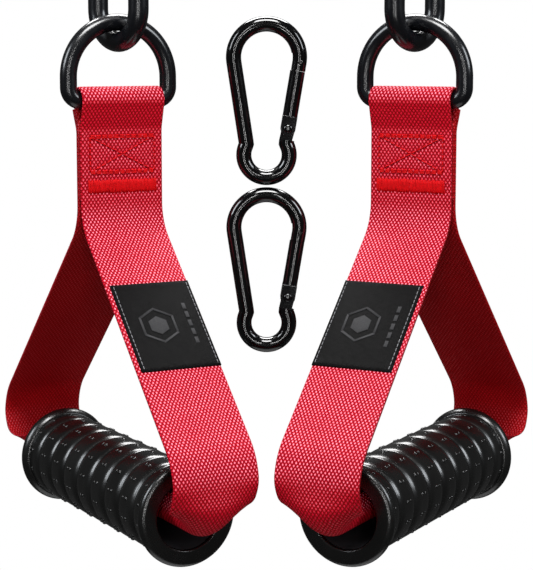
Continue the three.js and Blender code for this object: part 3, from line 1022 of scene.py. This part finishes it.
def make_hook_frame(which, place, at_gate):
    """The bent bar with its latch slot, and the tang that the gate turns on."""
    steel = MATERIALS["hook"]
    bar = make_object(f"{which}_frame_fine", round_bar(hook_line(), HOOK["bar"] / 2, 40), place, steel)
    slot = cutter("slot", box_shell((8.2, 3.0, 7.6), (-2.3, 0, LATCH["up"] - 0.2)), at_gate)
    pin_hole = cutter("pin_hole", pin_rod(LATCH["pin"] + 0.1, 9), at_gate)
    cut(bar, slot, pin_hole)
    placed(crisp(bar), f"{which}_hook", f"{which}_hook_frame")
    tang = make_object(f"{which}_tang_fine", plate(tang_outline(), -GATE["tang"], 2 * GATE["tang"]),
                       at_gate, steel)
    cut(tang, rivet_hole(at_gate))
    placed(soften(tang, 0.15), f"{which}_hook", None)


def gate_ends_shell():
    """The fork's two cheeks and the nose that closes on the latch pin."""
    shell = Shell()
    for front in (GATE["cheek"], -GATE["radius"]):
        shell.join(plate(cheek_outline(), front, GATE["radius"] - GATE["cheek"], 0.35))
    low, high = GATE["top"] - 1.4, GATE["top"] + 5.2
    return shell.join(plate([(-2.5, low), (-0.8, low), (-0.8, high), (-2.5, high)], -1.1, 2.2, 0.3))


def make_gate(which, at_gate):
    steel = MATERIALS["hook"]
    solid = upright(rod(GATE["radius"], GATE["low"], GATE["top"] + 0.2, 0.12))
    tube = make_object(f"{which}_gate_fine", solid, at_gate, steel)
    cut(tube, cutter("bore", upright(rod(GATE["bore"], 0.0, GATE["bore_top"])), at_gate))
    placed(crisp(tube), f"{which}_gate", f"{which}_hook_gate")
    ends = make_object(f"{which}_gate_ends", gate_ends_shell(), at_gate, steel)
    cut(ends, rivet_hole(at_gate))
    placed(soften(ends, 0.15), f"{which}_gate", None)


def make_rivet_and_pin(which, at_gate):
    reach, head = GATE["radius"] + 0.2, 1.9
    crown = [(0.05, 0.75), (head * 0.5, 0.68), (head * 0.85, 0.4), (head, 0.0), (GATE["rivet"], 0.0)]
    profile = [(r, -reach - out) for r, out in crown] + [(r, reach + out) for r, out in reversed(crown)]
    rivet = make_object(f"{which}_rivet_fine", lathed(profile, 40, closed=False), at_gate,
                        MATERIALS["hook"])
    placed(rivet, f"{which}_hook", f"{which}_hook_rivet")
    pin = make_object(f"{which}_pin_fine", pin_rod(LATCH["pin"], LATCH["half"], 0.15), at_gate,
                      MATERIALS["hook"])
    placed(pin, f"{which}_hook", f"{which}_hook_latch_pin")


def make_spring(which, at_gate):
    """The coil in the gate's bore."""
    low, high, wire = SPRING["low"], GATE["bore_top"] - GAP, SPRING["wire"]
    steps = 24 * SPRING["turns"]
    line = []
    for k in range(steps + 1):
        angle = 2 * math.pi * k / 24
        up = low + wire + (high - low - 2 * wire) * k / steps
        line.append((SPRING["radius"] * math.cos(angle), SPRING["radius"] * math.sin(angle), up))
    spring = make_object(f"{which}_spring_fine", thread(line, wire, 10), at_gate, MATERIALS["spring"])
    placed(spring, f"{which}_gate", f"{which}_hook_spring")
    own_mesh(spring)


def make_hook(which):
    pivot = Vector((GATE["pivot"][0], 0, GATE["pivot"][1])) * MM
    corner = Vector(joint(f"{which}_gate_hinge")["pos_m"]) - pivot
    place = Matrix.Translation(corner) @ Matrix.Scale(MM, 4)
    at_gate = place @ gate_place()
    make_hook_frame(which, place, at_gate)
    make_gate(which, at_gate)
    make_rivet_and_pin(which, at_gate)
    make_spring(which, at_gate)


def finish_plungers():
    """The plungers are inside the gates: the CAD solids get their material."""
    for which in ("upper", "lower"):
        node = frame["nodes"][f"{which}_hook_plunger"]
        node.data.materials.clear()
        node.data.materials.append(MATERIALS["spring"])


# ---------------------------------------------------------------- studio

FLOOR_DROP = -1.3
FLOOR_RADIUS = 0.6


def make_floor():
    """A plain pale disc, well below the piece."""
    sides = 96
    points = [(FLOOR_RADIUS * math.cos(2 * math.pi * k / sides),
               FLOOR_RADIUS * math.sin(2 * math.pi * k / sides), FLOOR_DROP) for k in range(sides)]
    shell = Shell().add(points, [tuple(range(sides))])
    n = Nodes("floor", Roughness=0.9)
    n.shader.inputs["Base Color"].default_value = rgb(0.75, 0.75, 0.75)
    floor = make_object("floor", shell, Matrix.Identity(4), n.material, smooth=False)


def area_light(name, spot, aim, size, watts, colour=(1, 1, 1)):
    data = bpy.data.lights.new(name, "AREA")
    data.shape = "RECTANGLE"
    data.size, data.size_y = size
    data.energy = watts
    data.color = colour
    light = bpy.data.objects.new(name, data)
    light.location = spot
    light.rotation_euler = (Vector(aim) - Vector(spot)).to_track_quat("-Z", "Y").to_euler()
    bpy.context.scene.collection.objects.link(light)


def make_studio():
    """White to the camera, a faint fill for the rest, and six soft lights."""
    world = bpy.data.worlds.new("studio")
    bpy.context.scene.world = world
    world.use_nodes = True
    tree = world.node_tree
    tree.nodes.clear()
    path = tree.nodes.new("ShaderNodeLightPath")
    seen = tree.nodes.new("ShaderNodeBackground")
    seen.inputs[0].default_value = rgb(1, 1, 1)
    fill = tree.nodes.new("ShaderNodeBackground")
    fill.inputs[0].default_value = rgb(1, 1, 1)
    fill.inputs[1].default_value = 0.055
    mix = tree.nodes.new("ShaderNodeMixShader")
    out = tree.nodes.new("ShaderNodeOutputWorld")
    tree.links.new(path.outputs["Is Camera Ray"], mix.inputs[0])
    tree.links.new(fill.outputs[0], mix.inputs[1])
    tree.links.new(seen.outputs[0], mix.inputs[2])
    tree.links.new(mix.outputs[0], out.inputs[0])
    middle = (0, 0, -0.13)
    area_light("top", (0, -0.5, 0.85), middle, (0.6, 0.4), 16)
    area_light("back", (0, 0.6, 0.8), middle, (1.0, 0.35), 24)
    for side in (-1, 1):
        area_light(f"strip_{side}", (0.24 * side, -1.45, 0.0), middle, (0.035, 1.1), 3.6)
        area_light(f"side_{side}", (0.95 * side, -0.35, 0.4), middle, (0.35, 0.5), 6, (0.9, 0.95, 1))
    bpy.context.scene.view_settings.view_transform = "Standard"


# ---------------------------------------------------------------- everything

make_camera()
make_studio()
make_floor()
for side, mirror in (("left", 1), ("right", -1)):
    strap_length = make_handle(side, mirror)
for which in ("upper", "lower"):
    make_hook(which)
finish_plungers()
